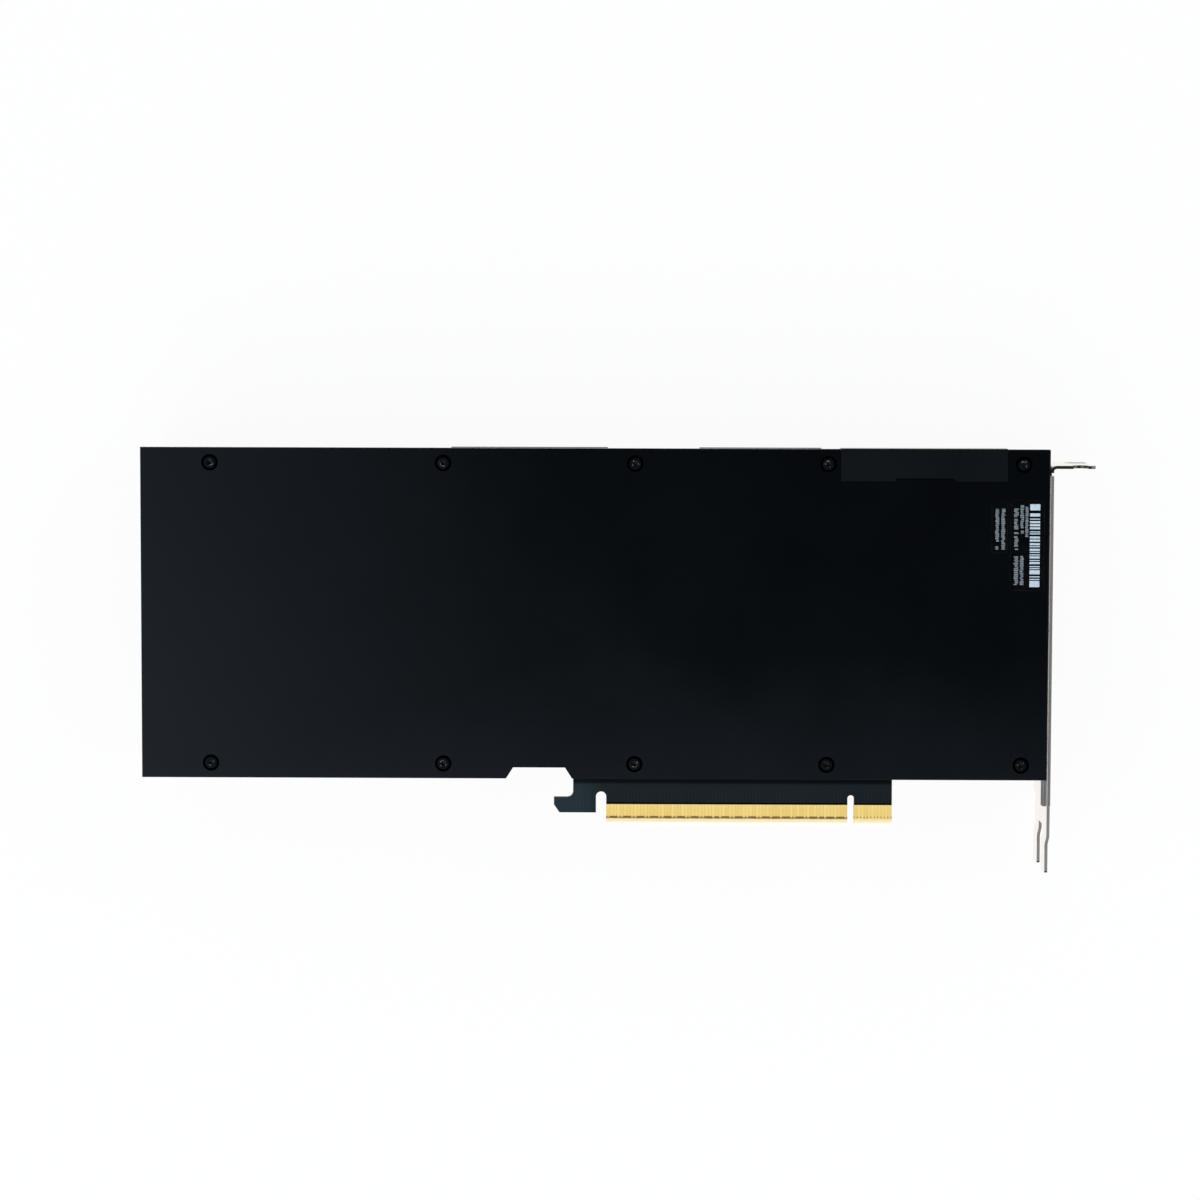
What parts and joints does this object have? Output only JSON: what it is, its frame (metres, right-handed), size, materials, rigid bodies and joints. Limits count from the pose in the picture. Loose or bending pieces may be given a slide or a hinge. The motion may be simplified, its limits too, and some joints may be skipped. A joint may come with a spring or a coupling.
{
  "type": "passive accelerator card",
  "caption": "Passive accelerator card: flat backplate, card-edge connector, vented mounting bracket, and a fin heatsink under an open-ended cover for blown air.",
  "frame": {"origin": "centre of the key notch, on the lower edge of the card-edge tongue, at mid-thickness of the board", "axes": "the card lies on its front cover: +X towards the mounting bracket, +Y away from the card-edge connector, +Z out of the backplate"},
  "size_m": [0.2803, 0.1255, 0.039],
  "materials": {
    "circuit_board": "dark solder mask over glass-fibre laminate",
    "gold_plating": "bright gold plate",
    "black_anodised_aluminium": "fine satin black anodising",
    "black_moulding": "satin black",
    "insulator_film": "smooth black film",
    "clear_label": "glossy clear film",
    "bracket_steel": "nickel-plated sheet steel",
    "black_cast_aluminium": "black coated casting",
    "black_cover_aluminium": "satin black anodising",
    "bare_aluminium": "bare mill finish",
    "package_laminate": "green laminate",
    "silicon": "polished dark silicon",
    "plated_steel": "bright nickel plate",
    "ferrite": "dark grey moulded ferrite",
    "black_mould_compound": "black mould compound",
    "thermal_pad": "soft grey pad",
    "capacitor_case": "dark moulded case",
    "connector_nylon": "black glass-filled nylon",
    "tinned_pins": "tin plate",
    "black_screw_steel": "black oxide steel"
  },
  "bodies": {
    "root": {"circuit_board": "circuit_board", "edge_contacts": "gold_plating", "bridge_contacts": "gold_plating", "backplate": "black_anodised_aluminium", "bridge_port_cover": "black_moulding", "insulator_film": "insulator_film", "product_label": "clear_label", "inspection_label": "clear_label", "mounting_bracket": "bracket_steel", "base_frame": "black_cast_aluminium", "front_cover": "black_cover_aluminium", "heatsink_base": "bare_aluminium", "heatsink_fins": "bare_aluminium", "processor_substrate": "package_laminate", "processor_die": "silicon", "package_stiffener": "plated_steel", "memory_stacks": "silicon", "retention_plate": "plated_steel", "heatsink_spacers": "plated_steel", "power_inductors": "ferrite", "power_stages": "black_mould_compound", "thermal_pads": "thermal_pad", "bulk_capacitors": "capacitor_case", "support_chips": "black_mould_compound", "power_connector_housing": "connector_nylon", "power_connector_pins": "tinned_pins", "backplate_screws": "black_screw_steel", "front_cover_screws": "black_screw_steel", "bracket_screws": "black_screw_steel", "heatsink_screws": "plated_steel"}
  },
  "joints": []
}
